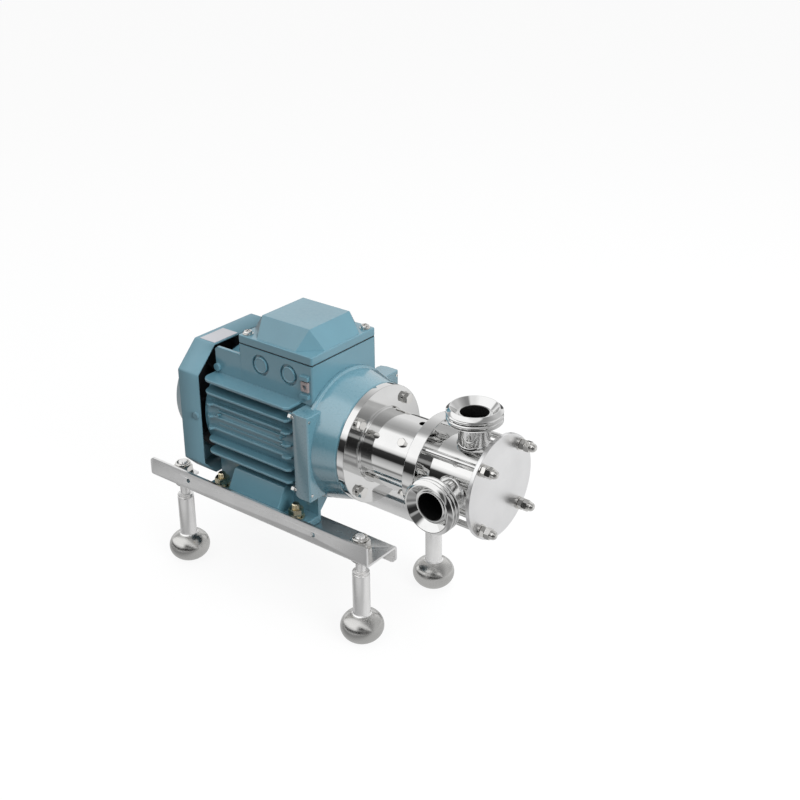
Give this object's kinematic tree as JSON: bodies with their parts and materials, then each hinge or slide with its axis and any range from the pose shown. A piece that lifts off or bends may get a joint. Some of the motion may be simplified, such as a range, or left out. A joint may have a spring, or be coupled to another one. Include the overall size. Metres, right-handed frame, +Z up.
{
  "type": "flexible impeller pump",
  "caption": "Flexible impeller pump close coupled to a finned electric motor, on two rails with adjustable feet, with threaded dairy ports on top and side.",
  "frame": {"origin": "on the floor, under the middle of the machine's outline", "axes": "+X along the shaft toward the pump cover, +Y away from the side inlet, +Z up"},
  "size_m": [0.4, 0.1574, 0.2929],
  "materials": {
    "motor_paint": "semi-gloss blue-green paint over castings",
    "hood_paint": "semi-gloss blue-green paint over pressed sheet",
    "polished_stainless": "polished stainless steel",
    "bright_stainless": "bright stainless fasteners",
    "cover_stainless": "fine ground pale stainless plate",
    "rail_steel": "cold rolled stainless sheet",
    "satin_steel": "satin stainless steel",
    "zinc_plate": "yellow zinc plated steel",
    "plate_aluminium": "blank anodised plate",
    "black_plastic": "moulded black plastic",
    "shaft_steel": "turned steel",
    "core_iron": "stacked iron sheets",
    "winding_copper": "enamelled copper wire",
    "bearing_steel": "ground bearing steel",
    "black_rubber": "black rubber",
    "board_plastic": "brown moulded insulation",
    "terminal_brass": "turned brass",
    "seal_carbon": "lapped carbon and ceramic",
    "impeller_rubber": "food grade black rubber"
  },
  "bodies": {
    "base": {"near_rail": "rail_steel", "far_rail": "rail_steel", "foot_studs": "satin_steel", "foot_nuts": "satin_steel", "foot_lock_nuts": "satin_steel", "foot_washers": "satin_steel", "motor_foot_bolts": "zinc_plate", "motor_foot_nuts": "zinc_plate", "motor_foot_washers": "zinc_plate", "motor_housing": "motor_paint", "motor_feet": "motor_paint", "front_end_shield": "motor_paint", "rear_end_shield": "motor_paint", "end_shield_screws": "satin_steel", "fan_cover": "hood_paint", "fan_cover_screws": "hood_paint", "rating_plate": "plate_aluminium", "stator_core": "core_iron", "stator_windings": "winding_copper", "front_bearing_outer": "bearing_steel", "rear_bearing_outer": "bearing_steel", "box_gasket": "black_rubber", "box_lid": "motor_paint", "lid_screws": "bright_stainless", "cable_entry_plugs": "motor_paint", "terminal_board": "board_plastic", "terminal_studs": "terminal_brass", "lantern": "polished_stainless", "lantern_bolts": "bright_stainless", "lantern_washers": "bright_stainless", "lantern_screws": "bright_stainless", "seal_seat": "seal_carbon", "pump_flange": "polished_stainless", "pump_casing": "polished_stainless", "outlet_union": "polished_stainless", "inlet_union": "polished_stainless", "cam": "satin_steel", "cam_screw": "satin_steel", "front_o_ring": "black_rubber", "front_cover": "cover_stainless", "tie_rods": "bright_stainless", "cover_washers": "bright_stainless", "cover_nuts": "bright_stainless", "dome_nuts": "bright_stainless"},
    "rotor": {"cooling_fan": "black_plastic", "motor_shaft": "shaft_steel", "rotor_core": "core_iron", "front_bearing_inner": "bearing_steel", "rear_bearing_inner": "bearing_steel", "pump_shaft": "shaft_steel", "shaft_key": "shaft_steel", "seal_ring": "seal_carbon", "seal_bellows": "black_rubber", "impeller": "impeller_rubber", "impeller_bushing": "terminal_brass"},
    "foot_front_near_body": {"foot_front_near": "satin_steel"},
    "foot_front_far_body": {"foot_front_far": "satin_steel"},
    "foot_rear_near_body": {"foot_rear_near": "satin_steel"},
    "foot_rear_far_body": {"foot_rear_far": "satin_steel"}
  },
  "joints": [
    {"name": "shaft_spin", "type": "hinge", "parent": "base", "child": "rotor", "pos_m": [0.04, 0, 0.181], "axis": [1, 0, 0], "continuous": true, "deforming": ["impeller"]},
    {"name": "foot_front_near_height", "type": "slide", "parent": "base", "child": "foot_front_near_body", "axis": [0, 0, 1], "range_m": [-0.02, 0.01]},
    {"name": "foot_front_far_height", "type": "slide", "parent": "base", "child": "foot_front_far_body", "axis": [0, 0, 1], "range_m": [-0.02, 0.01]},
    {"name": "foot_rear_near_height", "type": "slide", "parent": "base", "child": "foot_rear_near_body", "axis": [0, 0, 1], "range_m": [-0.02, 0.01]},
    {"name": "foot_rear_far_height", "type": "slide", "parent": "base", "child": "foot_rear_far_body", "axis": [0, 0, 1], "range_m": [-0.02, 0.01]}
  ]
}
